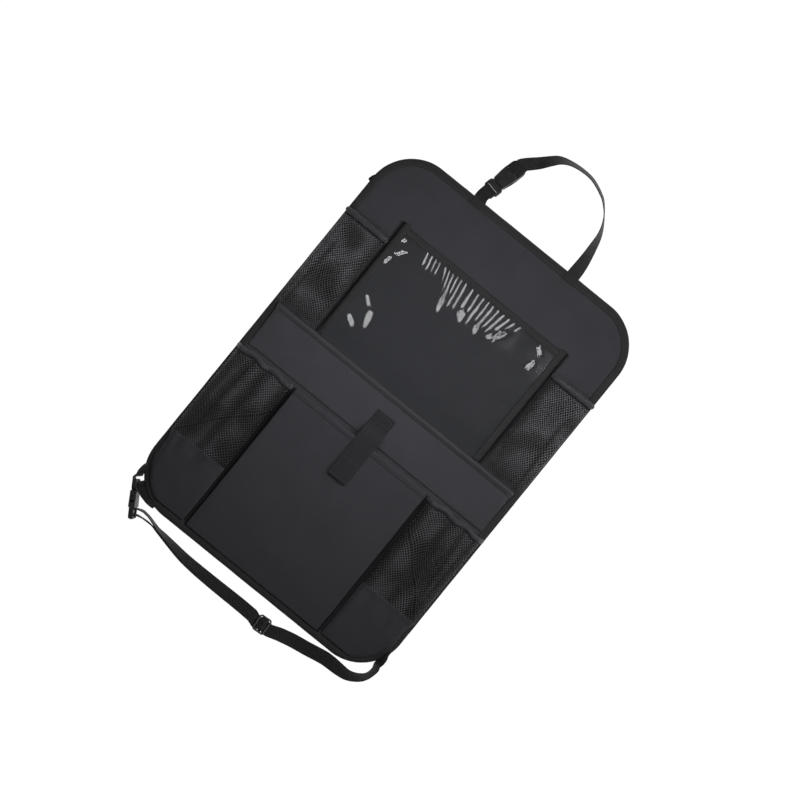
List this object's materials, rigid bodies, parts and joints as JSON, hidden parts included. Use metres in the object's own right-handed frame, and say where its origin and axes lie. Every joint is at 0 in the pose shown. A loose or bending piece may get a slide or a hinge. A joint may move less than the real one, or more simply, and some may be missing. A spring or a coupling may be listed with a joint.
{
  "type": "car seat-back organizer",
  "caption": "Flat fabric organizer for the back of a car seat, with clear tablet, mesh, slip and magazine pockets, a headrest loop and a seat-base strap with side-release buckles.",
  "frame": {"origin": "centre of the panel's back face, which lies on the ground", "axes": "+X to the panel's right as seen from the front, +Y towards the headrest loop, +Z out of the panel's front"},
  "size_m": [0.4293, 0.755, 0.0254],
  "materials": {
    "panel_fabric": "fine plain-weave polyester, dark charcoal, matte",
    "pocket_fabric": "fine plain-weave polyester, dark charcoal, slight sheen",
    "tape": "ribbed binding tape, near black",
    "elastic": "folded elastic, near black",
    "net": "knitted diamond mesh, near black",
    "film": "clear flexible film, glossy",
    "webbing": "ribbed polypropylene webbing, black",
    "hook_loop": "hook-and-loop tape, black",
    "buckle": "moulded acetal, black, satin"
  },
  "bodies": {
    "root": {"back_panel": "panel_fabric", "edge_binding": "tape", "tablet_window": "film", "tablet_window_hem": "tape", "tablet_side_tape_left": "tape", "tablet_side_tape_right": "tape", "upper_net_left": "net", "upper_net_right": "net", "upper_elastic_left": "elastic", "upper_elastic_right": "elastic", "middle_band": "pocket_fabric", "middle_band_hem": "tape", "magazine_pocket": "pocket_fabric", "magazine_pocket_hem": "pocket_fabric", "lower_net_left": "net", "lower_net_right": "net", "lower_elastic_left": "elastic", "lower_elastic_right": "elastic", "lower_base_left": "pocket_fabric", "lower_base_right": "pocket_fabric", "closure_tab": "hook_loop", "hook_patch": "hook_loop", "loop_patch": "hook_loop", "upper_buckle_male": "buckle", "upper_buckle_female": "buckle", "lower_buckle_male": "buckle", "lower_buckle_female": "buckle", "strap_adjuster": "buckle", "upper_strap_stub": "webbing", "headrest_strap": "webbing", "lower_strap_stub": "webbing", "seat_base_strap": "webbing"}
  },
  "joints": []
}
